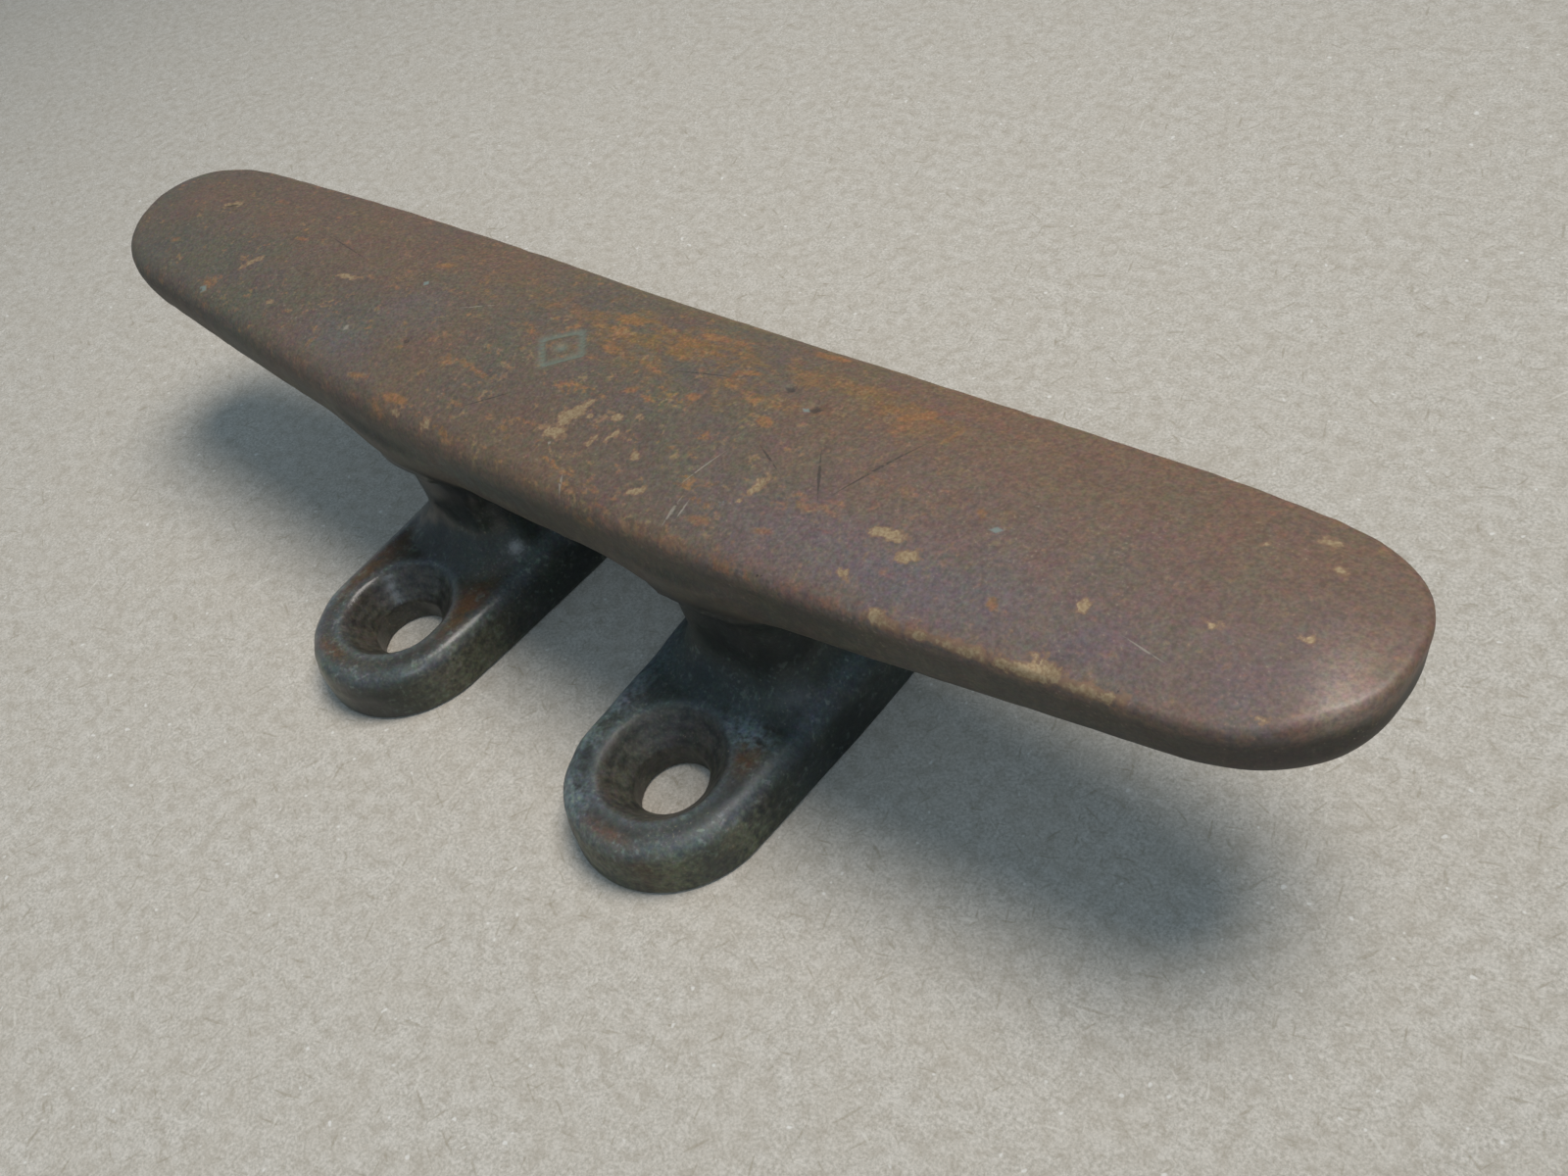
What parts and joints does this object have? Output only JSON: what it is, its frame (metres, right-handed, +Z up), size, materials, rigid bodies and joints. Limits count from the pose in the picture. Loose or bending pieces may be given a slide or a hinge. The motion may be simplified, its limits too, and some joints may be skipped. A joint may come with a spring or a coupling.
{
  "type": "horn cleat",
  "caption": "Open-base horn cleat for belaying mooring line: a long tapered horn carried clear of the deck on legs that spread into countersunk screw-down feet.",
  "frame": {"origin": "on the mounting plane under the feet, at the centre of the four screw holes", "axes": "+X along the horn, +Y across it along the feet, +Z up, away from the deck"},
  "size_m": [0.1648, 0.068, 0.0323],
  "materials": {
    "cast_bronze": "aged bronze: matt brown patina on the horn, darker grey-green on the feet, worn golden along the ridges"
  },
  "bodies": {
    "root": {"horn_bar": "cast_bronze", "foot_left": "cast_bronze", "foot_right": "cast_bronze"}
  },
  "joints": []
}
